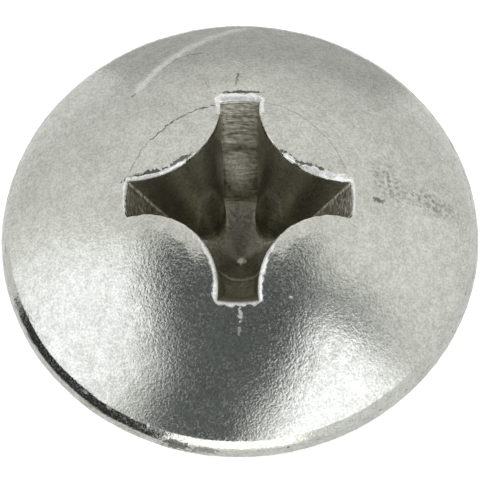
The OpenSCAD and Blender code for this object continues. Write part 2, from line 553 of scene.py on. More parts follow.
@dataclass(frozen=True)
class Head:
    """The dome round the recess, the rim and the bearing face.

    Attributes:
        radius: Widest radius of the rim.
        neck_r: Radius of the neck.
        rim_taper: How far the dome's edge lies inside the widest radius.
        shoulder_h: Height of the sloping shoulder under the dome's edge.
        shoulder_w: Width of that shoulder.
        rim_round: Radius of the rim's lower edge.
        neck_fillet: Radius of the fillet between bearing face and neck.
        lip: How far inside its edge the dome hands over to the rim's section.
        edge_soft: How far the rounding of the dome's edge reaches.
        side_soft: How far the rounding under the shoulder reaches.
        rough: Depth of the rim's unevenness.
        waves: Height, length and seed of each of the dome's ripples.
        sag: How far the dome is lowered, so that the ripples stay inside it.
        spacing: Power of the share of the way out that spaces the dome's rings.
    """

    radius: float
    neck_r: float
    rim_taper: float = 0.165
    shoulder_h: float = 0.17
    shoulder_w: float = 0.115
    rim_round: float = 0.15
    neck_fillet: float = 0.22
    lip: float = 0.05
    edge_soft: float = 0.018
    side_soft: float = 0.075
    rough: float = 0.006
    waves: tuple[tuple[float, float, int], ...] = ((0.0022, 2.6, 11), (0.0007, 0.7, 12))
    sag: float = 0.003
    spacing: float = 1.1

    @cached_property
    def dome(self) -> Dome:
        """The dome, whose edge lies inside the rim."""
        return Dome(edge_r=self.radius - self.rim_taper)

    @cached_property
    def recess(self) -> Recess:
        """The recess in the dome."""
        return Recess(self.dome)

    @cached_property
    def column_angles(self) -> np.ndarray:
        """Even angles of the columns beyond the dome.

        Returns:
            One angle for each column, in radians, from the first wing on.
        """
        recess = self.recess
        count = 4 * recess.quarter
        first = recess.wing_angle - 360 * (recess.end_columns / 2) / count
        return np.radians(first + 360 * np.arange(count) / count)

    def dome_rings(self, mouth: np.ndarray, rows: int = 78) -> tuple[np.ndarray, np.ndarray]:
        """The dome from the recess's mouth to just inside its edge.

        Each column leaves the mouth at its own angle and eases to its even
        angle, while its distance from the axis grows as a power of its share.
        The surface is lowered a little by the sag and the ripples, which come
        in over the first sixth of the way, and beside the mouth by a power of
        how near the mouth is.

        Args:
            mouth: The recess's last ring.
            rows: Rings on the dome.

        Returns:
            Array of rings by columns by x, y, z, and how pale the metal is painted at
            each of those points, which fades beside the mouth's worn edge and is partly
            that edge's painted highlight.
        """
        start_r = np.hypot(mouth[:, 0], mouth[:, 1])
        start_a = np.arctan2(mouth[:, 1], mouth[:, 0])
        swing = (self.column_angles - start_a + math.pi) % (2 * math.pi) - math.pi
        share = np.arange(1, rows + 1)[:, None] / rows
        angle = start_a + swing * smooth_step(share)
        reach = start_r + (self.dome.edge_r - self.lip - start_r) * share**self.spacing
        x, y = reach * np.cos(angle), reach * np.sin(angle)
        waves = [height * ripple(x, y, length, seed) for height, length, seed in self.waves]
        uneven = sum(waves) - self.sag
        gap = (x[..., None] - mouth[:, 0]) ** 2 + (y[..., None] - mouth[:, 1]) ** 2
        distance = np.sqrt(gap.min(axis=-1))
        recess = self.recess
        near = np.clip(1 - distance / recess.sink_w, 0, 1) ** recess.sink_power
        points = np.stack([x, y, self.dome.height(reach)], axis=-1)
        points[..., 2] += uneven * smooth_step(share * 6) - recess.sunk(points) * near
        worn = np.max([wear.bare * wear.share(points) for wear in MOUTH_WEAR_AND_HIGHLIGHT], axis=0)
        fringe = np.clip(1 - distance / recess.fringe, 0, 1)
        return points, recess.fringe_bare * worn * fringe

    def rim_section(self) -> np.ndarray:
        """Section of the rim from the dome's edge to the edge of the bearing face.

        Returns:
            Array of points, radius and height.
        """
        dome, round_r = self.dome, self.radius - self.rim_round
        inner_r = dome.edge_r - self.lip
        before = (inner_r, float(dome.height(inner_r)))
        edge = (dome.edge_r, dome.edge_z)
        shoulder = (dome.edge_r + self.shoulder_w, dome.edge_z - self.shoulder_h)
        side = (self.radius, self.rim_round)
        return np.concatenate([
            bend(before, edge, shoulder, self.edge_soft, 5),
            straight(edge, shoulder, 4),
            bend(edge, shoulder, side, self.side_soft, 8),
            straight(shoulder, side, 3),
            arc((round_r, self.rim_round), self.rim_round, 0, -90, 9),
        ])

    def under_section(self) -> np.ndarray:
        """Section of the bearing face, its fillet and the start of the neck.

        Returns:
            Array of points, radius and height.
        """
        fillet_r = self.neck_r + self.neck_fillet
        return np.concatenate([
            straight((self.radius - self.rim_round, 0), (fillet_r, 0), 10),
            arc((fillet_r, -self.neck_fillet), self.neck_fillet, 90, 180, 8),
        ])

    def carried(self, section: np.ndarray, angles: np.ndarray, rough: float) -> np.ndarray:
        """Carries a section round the axis.

        The radius is lowered by rough times the sum of 1 and two ripples in
        the angle and the distance along the section, held between 0 and 2.

        Args:
            section: Radii and heights.
            angles: The columns' angles.
            rough: Depth of the unevenness.

        Returns:
            Array of rings by columns by x, y, z.
        """
        length = np.cumsum(np.hypot(*np.diff(section, axis=0, prepend=section[:1]).T))
        round_trip = self.radius * np.stack([np.cos(angles), np.sin(angles)])
        wave = ripple(round_trip[0][None] + length[:, None], round_trip[1][None], 0.34, 21)
        slow = ripple(round_trip[0][None], round_trip[1][None] - length[:, None], 1.7, 22)
        reach = section[:, :1] - rough * np.clip(1 + 0.5 * wave + 0.5 * slow, 0, 2)
        heights = np.broadcast_to(section[:, 1:], reach.shape)
        return np.stack([reach * np.cos(angles), reach * np.sin(angles), heights], axis=-1)


@dataclass(frozen=True)
class Shank:
    """The neck, the rolled thread and the chamfered flat end.

    The thread is a grid that follows the helix: a row keeps its place in the
    thread's profile and climbs one pitch in each turn, so the last column meets
    the first one a whole profile further on.

    Attributes:
        length: From the bearing face to the flat end.
        neck_r: Radius of the neck.
        crest_r: Radius over the crests.
        depth: Depth of the thread.
        pitch: Height that the thread climbs in a turn.
        neck_l: Length of the plain neck.
        runout_l: Length in which the crests run out.
        fade_l: Length in which the roots run out.
        end_r: Radius of the flat end.
        chamfer_l: Length of the chamfer.
    """

    length: float
    neck_r: float
    crest_r: float = 2.083
    depth: float = 0.487
    pitch: float = 0.79375
    neck_l: float = 0.8
    runout_l: float = 0.3
    fade_l: float = 0.6
    end_r: float = 1.525
    chamfer_l: float = 0.55

    @cached_property
    def flats(self) -> tuple[float, float]:
        """Shares of the pitch that the crest and one flank of 30 degrees take."""
        return 1 / 8, self.depth * math.tan(math.radians(30)) / self.pitch

    @cached_property
    def phases(self) -> np.ndarray:
        """Places of the rows in the thread's profile, closer at its corners.

        Returns:
            The places in rising order, from 0 to 1.
        """
        crest, flank = self.flats
        corners = [0, crest, crest + flank, 1 - flank]
        spread = np.array([-0.022, -0.009, 0.009, 0.022])
        near = np.concatenate([c + spread for c in corners])
        between = [crest / 2, *(crest + flank * np.array([0.2, 0.4, 0.6, 0.8]))]
        between += [*(1 - flank * np.array([0.8, 0.6, 0.4, 0.2]))]
        return np.sort(np.concatenate([near, between]) % 1)

    def profile(self, phase: np.ndarray) -> np.ndarray:
        """Radius of the thread at a place in its profile.

        Flat at the crest, straight down a flank, flat at the root and straight
        up the other flank.

        Args:
            phase: Places in the profile, from 0 to 1.

        Returns:
            The radii, in the same shape.
        """
        crest, flank = self.flats
        down = (phase - crest) / flank
        up = (1 - phase) / flank
        return self.crest_r - self.depth * np.clip(np.minimum(down, up), 0, 1)

    def radius_at(self, angles: np.ndarray, heights: np.ndarray) -> np.ndarray:
        """Radius of the shank at each angle and height.

        The thread's profile, trimmed by the cones of the chamfer and of the
        crests' run-out, and filled by the cone into which its roots run out.

        Args:
            angles: Angles round the axis, in radians.
            heights: Heights, in a shape that fits the angles.

        Returns:
            The radii.
        """
        climb = self.pitch * angles / (2 * math.pi)
        phase = ((self.pitch - self.neck_l + climb - heights) / self.pitch) % 1
        below = -self.neck_l - heights
        runout = self.neck_r + below * (self.crest_r - self.neck_r) / self.runout_l
        rise = (self.crest_r - self.end_r) / self.chamfer_l
        chamfer = self.end_r + (heights + self.length) * rise
        root_r = self.crest_r - self.depth
        fade = self.neck_r - below * (self.neck_r - root_r) / self.fade_l
        trimmed = np.minimum(self.profile(phase), np.minimum(runout, chamfer))
        return np.maximum(trimmed, np.clip(fade, root_r - 0.1, self.neck_r))

    def thread_rows(self, angles: np.ndarray) -> np.ndarray:
        """The thread's rows of points, held between the neck and the end.

        Args:
            angles: The columns' angles, in radians.

        Returns:
            Array of rows by columns by x, y, z. The first and the last whole
            profile of rows lie flat on the neck's ring and the end's ring.
        """
        turns = math.ceil((self.length - self.neck_l) / self.pitch) + 4
        place = (np.arange(-2, turns)[:, None] + self.phases[None]).ravel()[:, None]
        heights = self.pitch - self.neck_l + self.pitch * (angles / (2 * math.pi) - place)
        heights = np.clip(heights, -self.length, -self.neck_l)
        reach = self.radius_at(angles[None], heights)
        return np.stack([reach * np.cos(angles), reach * np.sin(angles), heights], axis=-1)

    def end_section(self) -> np.ndarray:
        """Section of the flat end, radius and height, from its edge toward the axis."""
        return straight((self.end_r, -self.length), (0.0, -self.length), 7)


@dataclass
class Skin:
    """Gathers rings of points and the faces between them, facing outward.

    Attributes:
        points: Arrays of points, in millimetres.
        bare: How pale the metal is painted at the points, from bare scraped metal and from painted
            highlights, in arrays of the same lengths.
        faces: The corners of each face, as numbers of points.
        finishes: The finish of each face.
        count: How many points there are so far.
    """

    points: list[np.ndarray] = field(default_factory=list)
    bare: list[np.ndarray] = field(default_factory=list)
    faces: list[list[int]] = field(default_factory=list)
    finishes: list[int] = field(default_factory=list)
    count: int = 0

    def add_points(self, grid: np.ndarray, bare: np.ndarray | float = 0.0) -> np.ndarray:
        """Takes in points.

        Args:
            grid: Array of any shape, with x, y, z as its last axis.
            bare: How pale the metal is at the points, from 0 to 1: bare, scraped metal, and painted
                highlights.

        Returns:
            The points' numbers, in the grid's own shape.
        """
        flat = grid.reshape(-1, 3)
        numbers = self.count + np.arange(len(flat)).reshape(grid.shape[:-1])
        self.points.append(flat)
        self.bare.append(np.broadcast_to(bare, grid.shape[:-1]).ravel())
        self.count += len(flat)
        return numbers

    def add_faces(self, corners: np.ndarray, finish: Surface) -> None:
        """Takes in faces with one finish, each a row of its corners' numbers."""
        self.faces.extend(corners.tolist())
        self.finishes.extend([finish.value] * len(corners))

    def add_band(self, rows: np.ndarray, finish: Surface, shift: int = 0) -> None:
        """Joins rows of points into closed rings of quads.

        Args:
            rows: Numbers of the points, rows by columns.
            finish: The band's finish.
            shift: How many rows further up the first column meets the last one.
        """
        beside = np.roll(rows, -1, axis=1)
        if shift:
            beside[:, -1] = rows[np.clip(np.arange(len(rows)) - shift, 0, None), 0]
        quads = np.stack([rows[:-1], rows[1:], beside[1:], beside[:-1]], axis=-1)
        self.add_faces(quads.reshape(-1, 4), finish)

    def add_halving(self, ring: np.ndarray, half: np.ndarray, finish: Surface) -> None:
        """Joins a ring to one below it that has every second of its columns.

        Args:
            ring: Numbers of the ring's points.
            half: Numbers of the points of the ring below it.
            finish: The band's finish.
        """
        a, b, c = ring[0::2], ring[1::2], np.roll(ring[0::2], -1)
        d, e = half, np.roll(half, -1)
        threes = [np.stack(t, axis=-1) for t in ((a, d, b), (b, d, e), (b, e, c))]
        self.add_faces(np.concatenate(threes), finish)

    def add_cap(self, ring: np.ndarray, pole: np.ndarray, finish: Surface, above: bool) -> None:
        """Closes a ring with triangles that meet in one point.

        Args:
            ring: Numbers of the ring's points, anticlockwise seen from above.
            pole: The point's place.
            finish: The cap's finish.
            above: True if the cap faces up.
        """
        middle = np.full_like(ring, self.add_points(pole[None])[0])
        beside = np.roll(ring, -1)
        corners = (middle, ring, beside) if above else (middle, beside, ring)
        self.add_faces(np.stack(corners, axis=-1), finish)

    def mesh(self, name: str) -> bpy.types.Mesh:
        """Makes the mesh, in metres, with rows that lie on each other merged.

        Args:
            name: The mesh's name.

        Returns:
            The mesh, smooth but for edges sharper than 34 degrees.
        """
        made = bpy.data.meshes.new(name)
        made.from_pydata((np.concatenate(self.points) * MM).tolist(), [], self.faces)
        made.polygons.foreach_set("material_index", self.finishes)
        made.attributes.new("bare", "FLOAT", "POINT")
        made.attributes["bare"].data.foreach_set("value", np.concatenate(self.bare))
        work = bmesh.new()
        work.from_mesh(made)
        bmesh.ops.remove_doubles(work, verts=work.verts, dist=2e-7)
        bmesh.ops.dissolve_degenerate(work, edges=work.edges, dist=1e-7)
        work.to_mesh(made)
        work.free()
        made.shade_smooth()
        made.set_sharp_from_angle(angle=math.radians(34))
        return made


@dataclass(frozen=True)
class Steel:
    """How a stainless surface of the screw looks.

    Attributes:
        name: The material's name.
        colour: Colour of the clean metal.
        stain: Colour of the duller specks and patches.
        stain_share: How much the specks and patches tint, from 0 to 1.
        tints: Each one's part in that: the grain, the dimples, the mottling
            and the large soft patches.
        roughness: Roughness of the smoothest places.
        swing: How much rougher the roughest places are.
        grain: Size of the fine grain, in millimetres.
        grain_h: Height of the fine grain, in millimetres.
        peel: Size of the coarser dimples, in millimetres.
        peel_h: Height of the coarser dimples, in millimetres.
        ridge_h: Height of the level ridges on bare metal, in millimetres. Where it isn't 0, the
            hollows between them are also darkened with painted shade.
        bare_and_highlight_colour: Colour of bare, scraped metal, and of the painted highlights.
        bare_and_highlight_stain: How much the grain tints that metal and those highlights.
        bare_and_highlight_rough: Roughness of bare, scraped metal, and of the painted highlights.
    """

    name: str
    colour: tuple[float, float, float] = (0.64, 0.646, 0.6)
    stain: tuple[float, float, float] = (0.37, 0.37, 0.325)
    stain_share: float = 0.74
    tints: tuple[float, float, float, float] = (0.45, 0.3, 0.27, 0.14)
    roughness: float = 0.12
    swing: float = 0.175
    grain: float = 0.045
    grain_h: float = 0.003
    peel: float = 0.09
    peel_h: float = 0.0033
    ridge_h: float = 0.0
    bare_and_highlight_colour: tuple[float, float, float] = (0.97, 0.97, 0.94)
    bare_and_highlight_stain: float = 0.35
    bare_and_highlight_rough: float = 0.5


@dataclass(frozen=True)
class Arc:
    """A fine line on the steel that follows part of a circle, seen from above.

    Attributes:
        centre: Centre of the circle, in millimetres.
        radius: Radius of the circle.
        start: Angle at which the line starts, in degrees.
        end: Angle at which it ends.
        width: Half the width of the line.
        waver: How far the line wanders to each side.
        depth: How strong the line is, from 0 to 1.
        pale: True for a bright scrape, False for a dark crack.
    """

    centre: tuple[float, float]
    radius: float
    start: float
    end: float
    width: float
    waver: float
    depth: float
    pale: bool = False


@dataclass(frozen=True)
class Patch:
    """A smear on the steel: an ellipse with a ragged edge, seen from above.

    Attributes:
        centre: Centre of the ellipse, in millimetres.
        half: Half its length and half its width.
        turn: Angle of its length from X, in degrees.
        depth: How strong the mark is, from 0 to 1.
        pale: True for pale marks, scrapes and painted highlights; False for dark marks, dirt and
            painted shade.
        speckled: True for scattered specks, False for a solid smear.
    """

    centre: tuple[float, float]
    half: tuple[float, float]
    turn: float
    depth: float
    pale: bool = False
    speckled: bool = False


class Nodes:
    """Adds shader nodes to a tree and joins them, with places in millimetres."""

    def __init__(self, tree: bpy.types.NodeTree) -> None:
        """Empties the node tree of a material or of the world."""
        self.tree = tree
        tree.nodes.clear()

    def add(self, kind: str, inputs: dict | None = None, **settings: object) -> bpy.types.Node:
        """Adds a node.

        Args:
            kind: The node's type name, without its ShaderNode prefix.
            inputs: Sockets or values for the node's inputs, by name or number.
            settings: The node's own settings.

        Returns:
            The node.
        """
        node = self.tree.nodes.new("ShaderNode" + kind)
        for key, value in settings.items():
            setattr(node, key, value)
        for key, value in (inputs or {}).items():
            if isinstance(value, bpy.types.NodeSocket):
                self.tree.links.new(value, node.inputs[key])
            else:
                node.inputs[key].default_value = value
        return node

    def math(self, operation: str, *values: object) -> bpy.types.NodeSocket:
        """The result of a Math node on sockets or numbers."""
        return self.add("Math", dict(enumerate(values)), operation=operation).outputs[0]

    def ease(self, value: object, low: float, high: float) -> bpy.types.NodeSocket:
        """Eases a value from 0 to 1.

        Args:
            value: Socket of the value.
            low: Where the result is 0. It may be the larger of the two.
            high: Where the result is 1.

        Returns:
            The result's socket.
        """
        inputs = {"Value": value, "From Min": low, "From Max": high}
        node = self.add("MapRange", inputs, interpolation_type="SMOOTHSTEP")
        return node.outputs["Result"]

    def noise(self, place: object, size: float, detail: float = 2.0) -> bpy.types.NodeSocket:
        """Noise from 0 to 1 whose lumps are about size across, with some finer layers."""
        inputs = {"Vector": place, "Scale": 1.0 / size, "Detail": detail}
        return self.add("TexNoise", inputs).outputs["Fac"]

    def mix(self, share: object, first: object, second: object) -> bpy.types.NodeSocket:
        """Mixes two colours by the share of the second one."""
        inputs = {"Factor": share, 6: first, 7: second}
        return self.add("Mix", inputs, data_type="RGBA").outputs[2]

    def place(self, stretch: tuple[float, float, float]) -> bpy.types.NodeSocket:
        """The place on the piece in millimetres.

        Args:
            stretch: Factors along X, Y and Z. Noise grows longer by a small one.

        Returns:
            The place's socket.
        """
        where = self.add("TexCoord").outputs["Object"]
        inputs = {"Vector": where, "Scale": [s / MM for s in stretch]}
        return self.add("Mapping", inputs).outputs[0]

    def within(self, value: object, middle: float, half: float, soft: float) -> bpy.types.NodeSocket:
        """Eases to 1 where an angle in degrees is within half of a middle, softly at its edge."""
        gap = self.math("WRAP", self.math("SUBTRACT", value, middle), 180.0, -180.0)
        return self.ease(self.math("ABSOLUTE", gap), half + soft, half - soft)

    def blend(self, mask: object, base: object, target: float) -> bpy.types.NodeSocket:
        """Moves a value toward a target: the base, plus the mask times what is missing."""
        return self.math("MULTIPLY_ADD", mask, self.math("SUBTRACT", target, base), base)


class SteelMaterial:
    """Builds the material of one of the screw's surfaces.

    Attributes:
        MOTTLE: Size of the mottling, in millimetres.
        CLOUD: Size of the large soft patches.
        SPECK: Size of the scattered dull specks.
        DIRT_AND_SHADE: Colour of the dark marks, among them the painted shade on the recess's floor.
        RIDGE_SHADE: Colour of the painted shade in the hollows between the ridges.
        MARK_DEPTH: Depth of the dark marks, in millimetres.
    """

    MOTTLE = 0.24
    CLOUD = 0.9
    SPECK = 0.05
    DIRT_AND_SHADE = (0.045, 0.045, 0.038, 1.0)
    RIDGE_SHADE = (0.1, 0.095, 0.07, 1.0)
    MARK_DEPTH = 0.004

    def __init__(self, finish: Steel) -> None:
        """Makes an empty material.

        Args:
            finish: How the surface looks.
        """
        self.finish = finish
        self.material = bpy.data.materials.new(finish.name)
        self.material.use_nodes = True
        self.nodes = Nodes(self.material.node_tree)
        self.where = self.nodes.place((1.0, 1.0, 1.0))

    def arc_mask(self, mark: Arc) -> bpy.types.NodeSocket:
        """How much of a fine line shows at each place, from 0 to its depth.

        The place's distance from the circle, moved by noise, is eased from 1 on
        the line to 0 at its width, and faded beyond the two end angles. Dark
        lines are broken by finer noise.

        Args:
            mark: The line.

        Returns:
            The mask's socket.
        """
        n = self.nodes
        inputs = {0: self.where, 1: (*mark.centre, 0.0)}
        offset = n.add("VectorMath", inputs, operation="SUBTRACT").outputs[0]
        part = n.add("SeparateXYZ", {0: offset}).outputs
        reach = n.math("SQRT", n.math("ADD", n.math("MULTIPLY", part[0], part[0]),
                                      n.math("MULTIPLY", part[1], part[1])))
        wander = n.math("SUBTRACT", n.noise(self.where, 0.15, 1.0), 0.5)
        reach = n.math("MULTIPLY_ADD", wander, mark.waver * 4, reach)
        off = n.math("ABSOLUTE", n.math("SUBTRACT", reach, mark.radius))
        middle = math.radians((mark.start + mark.end) / 2)
        half = math.radians((mark.end - mark.start) / 2)
        angle = n.math("ARCTAN2", part[1], part[0])
        turn = n.math("ABSOLUTE", n.math("WRAP", n.math("SUBTRACT", angle, middle),
                                         math.pi, -math.pi))
        along = n.ease(turn, half, half * 0.75)
        if not mark.pale:
            broken = n.ease(n.noise(self.where, 0.07, 2.0), 0.25, 0.5)
            along = n.math("MULTIPLY", along, broken)
        across = n.ease(off, mark.width, 0.0 if mark.pale else mark.width * 0.3)
        return n.math("MULTIPLY", n.math("MULTIPLY", across, along), mark.depth)

    def patch_mask(self, patch: Patch) -> bpy.types.NodeSocket:
        """How much of a mark shows at each place, from 0 to its depth.

        The place is turned and scaled so that the ellipse has a radius of 1,
        and its distance, moved by noise, is eased from the middle outward.
        Scattered specks are cut out of that by finer noise.

        Args:
            patch: The mark.

        Returns:
            The mask's socket.
        """
        n = self.nodes
        turn = math.radians(patch.turn)
        inputs = {"Vector": self.where, "Location": (*patch.centre, 0.0),
                  "Rotation": (0.0, 0.0, turn), "Scale": (*patch.half, 1e6)}
        local = n.add("Mapping", inputs, vector_type="TEXTURE").outputs[0]
        reach = n.add("VectorMath", {0: local}, operation="LENGTH").outputs["Value"]
        ragged = n.math("SUBTRACT", n.noise(self.where, 0.07, 3.0), 0.5)
        wander, solid = (1.2, 0.2) if patch.speckled else (2.4, 0.6)
        reach = n.math("MULTIPLY_ADD", ragged, wander, reach)
        mask = n.math("MULTIPLY", n.ease(reach, 1.0, solid), patch.depth)
        if patch.speckled:
            specks = n.ease(n.noise(self.where, 0.085, 5.0), 0.4, 0.62)
            mask = n.math("MULTIPLY", mask, specks)
        return mask

    def strongest(self, masks: list[bpy.types.NodeSocket]) -> bpy.types.NodeSocket:
        """Takes the largest of some masks at each place.

        Args:
            masks: The masks' sockets.

        Returns:
            The result's socket.
        """
        total = masks[0]
        for mask in masks[1:]:
            total = self.nodes.math("MAXIMUM", total, mask)
        return total

    def build(self, marks: tuple[Arc | Patch, ...] = ()) -> bpy.types.Material:
        """Builds the shader.

        The colour is the clean metal, tinted by fine specks, by dimples, by
        mottling and by large soft patches, and then by the marks, among which is
        painted shade on the recess's floor. Scattered dull specks are rougher than
        the rest. The height that bumps the surface is the grain plus the dimples,
        less the dark marks. Where the mesh says that the metal is bare, which takes
        in painted highlights along the recess's corners and mouth, and on the pale
        marks, some of which are painted highlights, it is brighter and rougher, with
        level ridges, and painted shade in the hollows between them, if the finish
        has them.

        Args:
            marks: Lines and smears on the surface.

        Returns:
            The material.
        """
        n, f = self.nodes, self.finish
        fine = n.noise(self.where, f.grain, 2.0)
        coarse = n.noise(self.where, f.peel, 3.0)
        mottle = n.noise(self.where, self.MOTTLE, 4.0)
        cloud = n.noise(self.where, self.CLOUD, 4.0)
        layers = (n.ease(fine, 0.36, 0.64), n.ease(coarse, 0.35, 0.65),
                  n.ease(mottle, 0.36, 0.64), n.ease(cloud, 0.35, 0.65))
        tint = 0.0
        for layer, part in zip(layers, f.tints):
            tint = n.math("MULTIPLY_ADD", layer, part * f.stain_share, tint)
        stain = (*f.stain, 1.0)
        colour = n.mix(tint, (*f.colour, 1.0), stain)
        specks = n.noise(self.where, self.SPECK, 4.0)
        dull = n.math("MULTIPLY", n.ease(specks, 0.36, 0.66), n.ease(mottle, 0.1, 0.65))
        rough = n.math("MULTIPLY_ADD", dull, f.swing, f.roughness)
        height = n.math("MULTIPLY", fine, f.grain_h)
        height = n.math("MULTIPLY_ADD", coarse, f.peel_h, height)
        # The bare attribute holds bare metal and also painted highlights along the recess's corners
        # and mouth edge.
        bare = n.add("Attribute", attribute_name="bare").outputs["Fac"]
        if f.ridge_h:
            ridges = n.noise(n.place((0.25, 0.25, 1.0)), 0.07, 4.0)
            height = n.math("MULTIPLY_ADD", n.math("MULTIPLY", ridges, bare), f.ridge_h, height)
            # Painted shade: darkens the hollows between the ridges where the metal is bare.
            shadow = n.math("MULTIPLY", n.math("MULTIPLY", n.ease(ridges, 0.55, 0.4), bare), 0.45)
            colour = n.mix(shadow, colour, self.RIDGE_SHADE)
        uneven = n.math("MULTIPLY_ADD", n.math("SUBTRACT", coarse, 0.5), 1.1, bare)
        masks = {True: [n.ease(uneven, 0.25, 0.75)], False: []}
        for mark in marks:
            drawn = self.arc_mask(mark) if isinstance(mark, Arc) else self.patch_mask(mark)
            masks[mark.pale].append(drawn)
        # Dark marks, among them painted shade on the recess's floor, darken the colour.
        if masks[False]:
            dirt = self.strongest(masks[False])
            colour = n.mix(dirt, colour, self.DIRT_AND_SHADE)
            height = n.math("MULTIPLY_ADD", dirt, -self.MARK_DEPTH, height)
        # Pale marks and bare metal together, painted highlights among them.
        bare = self.strongest(masks[True])
        tint = n.math("MULTIPLY", n.ease(fine, 0.35, 0.65), f.bare_and_highlight_stain)
        colour = n.mix(bare, colour, n.mix(tint, (*f.bare_and_highlight_colour, 1.0), stain))
        rough = n.blend(bare, rough, f.bare_and_highlight_rough)
        bump = n.add("Bump", {"Height": height, "Distance": MM, "Strength": 1.0})
        shader = n.add("BsdfPrincipled", {
            "Base Color": colour,
            "Metallic": 1.0,
            "Roughness": rough,
            "Normal": bump.outputs[0],
        })
        n.add("OutputMaterial", {"Surface": shader.outputs[0]})
        return self.material


# Cracks round the recess, a scrape, dark streaks beside the mouth, dirt and nicks on the dome
DOME_MARKS = (
    Arc(centre=(0.01, -0.21), radius=2.34, start=97, end=143, width=0.024, waver=0.04, depth=0.85),
    Arc(centre=(0.01, -0.21), radius=2.34, start=135, end=160, width=0.018, waver=0.04, depth=0.5),
    Arc(centre=(0.0, 0.0), radius=2.21, start=10, end=80, width=0.016, waver=0.015, depth=0.35),
    Arc(centre=(-0.71, 2.72), radius=0.97, start=84, end=150, width=0.024, waver=0.02, depth=0.6),
    Arc(centre=(1.85, 0.37), radius=4.52, start=107, end=152, width=0.15, waver=0.03, depth=0.6,
        pale=True),
    Arc(centre=(1.2, 2.8), radius=1.19, start=170, end=190, width=0.022, waver=0.05, depth=0.7),
    Patch(centre=(-2.08, 2.63), half=(0.08, 0.04), turn=45, depth=0.6),
    Patch(centre=(-1.82, 0.54), half=(0.55, 0.08), turn=10, depth=0.9),
    Patch(centre=(-1.14, 0.775), half=(0.3, 0.055), turn=28, depth=0.8),
    Patch(centre=(0.99, 0.83), half=(0.2, 0.05), turn=-38, depth=0.9),
    Patch(centre=(1.4, 0.605), half=(0.42, 0.055), turn=-16, depth=0.85),
    Patch(centre=(0.05, 2.43), half=(0.46, 0.045), turn=0, depth=0.9),
    Patch(centre=(2.78, -0.03), half=(0.15, 0.06), turn=-5, depth=0.7),
    Patch(centre=(3.0, 0.4), half=(0.65, 0.42), turn=-60, depth=0.55, speckled=True),
    Patch(centre=(3.85, 0.15), half=(0.8, 0.32), turn=-15, depth=0.55, speckled=True),
    Patch(centre=(-0.03, -2.52), half=(0.16, 0.05), turn=90, depth=0.9, pale=True),
    Patch(centre=(-0.05, -2.82), half=(0.1, 0.04), turn=80, depth=0.6, pale=True),
    Patch(centre=(0.97, -2.19), half=(0.04, 0.03), turn=0, depth=0.8, pale=True),
)
# Painted shade on the floor, a painted highlight and a dark spot on the far wing's end, the tip's
# painted highlight and rings
RECESS_MARKS = (
    # Painted shade: darkens the floor of the recess.
    Patch(centre=(0.0, 0.1), half=(0.9, 0.9), turn=0, depth=0.3),
    # Painted highlight on the far wing's end.
    Patch(centre=(-0.02, 1.42), half=(0.26, 0.24), turn=0, depth=1.0, pale=True),
    Patch(centre=(0.02, 1.73), half=(0.16, 0.05), turn=0, depth=0.45),
    # Painted highlight at the tip.
    Patch(centre=(0.02, 0.0), half=(0.11, 0.08), turn=0, depth=1.0, pale=True),
    Arc(centre=(0.0, 0.0), radius=0.55, start=-150, end=-30, width=0.05, waver=0.01, depth=0.7,
        pale=True),
    Arc(centre=(0.0, 0.0), radius=0.95, start=20, end=70, width=0.05, waver=0.02, depth=0.4,
        pale=True),
    Arc(centre=(0.0, 0.0), radius=0.95, start=110, end=160, width=0.05, waver=0.02, depth=0.4,
        pale=True),
)


# Dark mottling along the near edge of the rim, and painted glints, small painted highlights, on its
# left
RIM_MARKS = (
    Patch(centre=(-1.38, -4.6), half=(0.34, 0.05), turn=-17, depth=0.75),
    Patch(centre=(-0.8, -4.74), half=(0.3, 0.03), turn=-9, depth=0.5),
    # Painted highlights: glints on the rim's left.
    Patch(centre=(-1.9, -4.28), half=(0.05, 0.03), turn=60, depth=0.9, pale=True),
    Patch(centre=(-2.68, -3.86), half=(0.08, 0.04), turn=-35, depth=0.6, pale=True),
    Patch(centre=(-3.15, -3.5), half=(0.06, 0.03), turn=-42, depth=0.5, pale=True),
)


